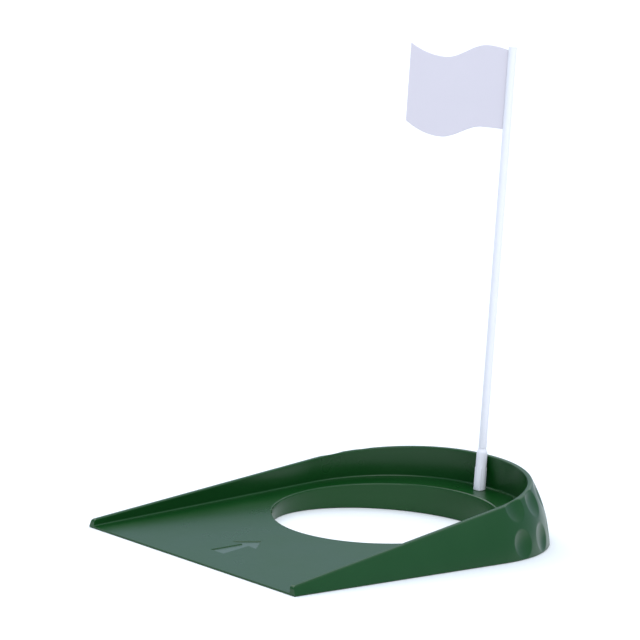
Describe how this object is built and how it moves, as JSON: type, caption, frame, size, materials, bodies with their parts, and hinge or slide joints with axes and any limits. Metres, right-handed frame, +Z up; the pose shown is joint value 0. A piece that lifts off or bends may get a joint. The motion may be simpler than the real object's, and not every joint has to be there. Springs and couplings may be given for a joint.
{
  "type": "practice putting cup",
  "caption": "Low ramped practice hole with a raised curved back wall and a lift-out flagstick carrying a small wavy flag.",
  "frame": {"origin": "on the ground, under the middle of the base's length and width", "axes": "+Z up along the flagstick, +Y from the open front of the ramp to the high back wall, +X across to the right as seen from the front"},
  "size_m": [0.145, 0.202, 0.2333],
  "materials": {
    "base_plastic": "semi-gloss dark green moulded plastic with soft, slightly blurred reflections",
    "pole_plastic": "satin white moulded plastic with a faint lavender cast",
    "flag_plastic": "smooth matte pale lavender-white plastic sheet"
  },
  "bodies": {
    "base": {"putting_base": "base_plastic"},
    "foot": {"pole_ferrule": "pole_plastic"},
    "flagstick": {"flag_pole": "pole_plastic", "flag": "flag_plastic"}
  },
  "joints": [
    {"name": "flagstick_lift", "type": "slide", "parent": "base", "child": "foot", "axis": [0, 0, 1], "range_m": [0, 0.05]},
    {"name": "flag_spin", "type": "hinge", "parent": "foot", "child": "flagstick", "pos_m": [0, 0.084, 0.1], "axis": [0, 0, 1], "continuous": true}
  ]
}
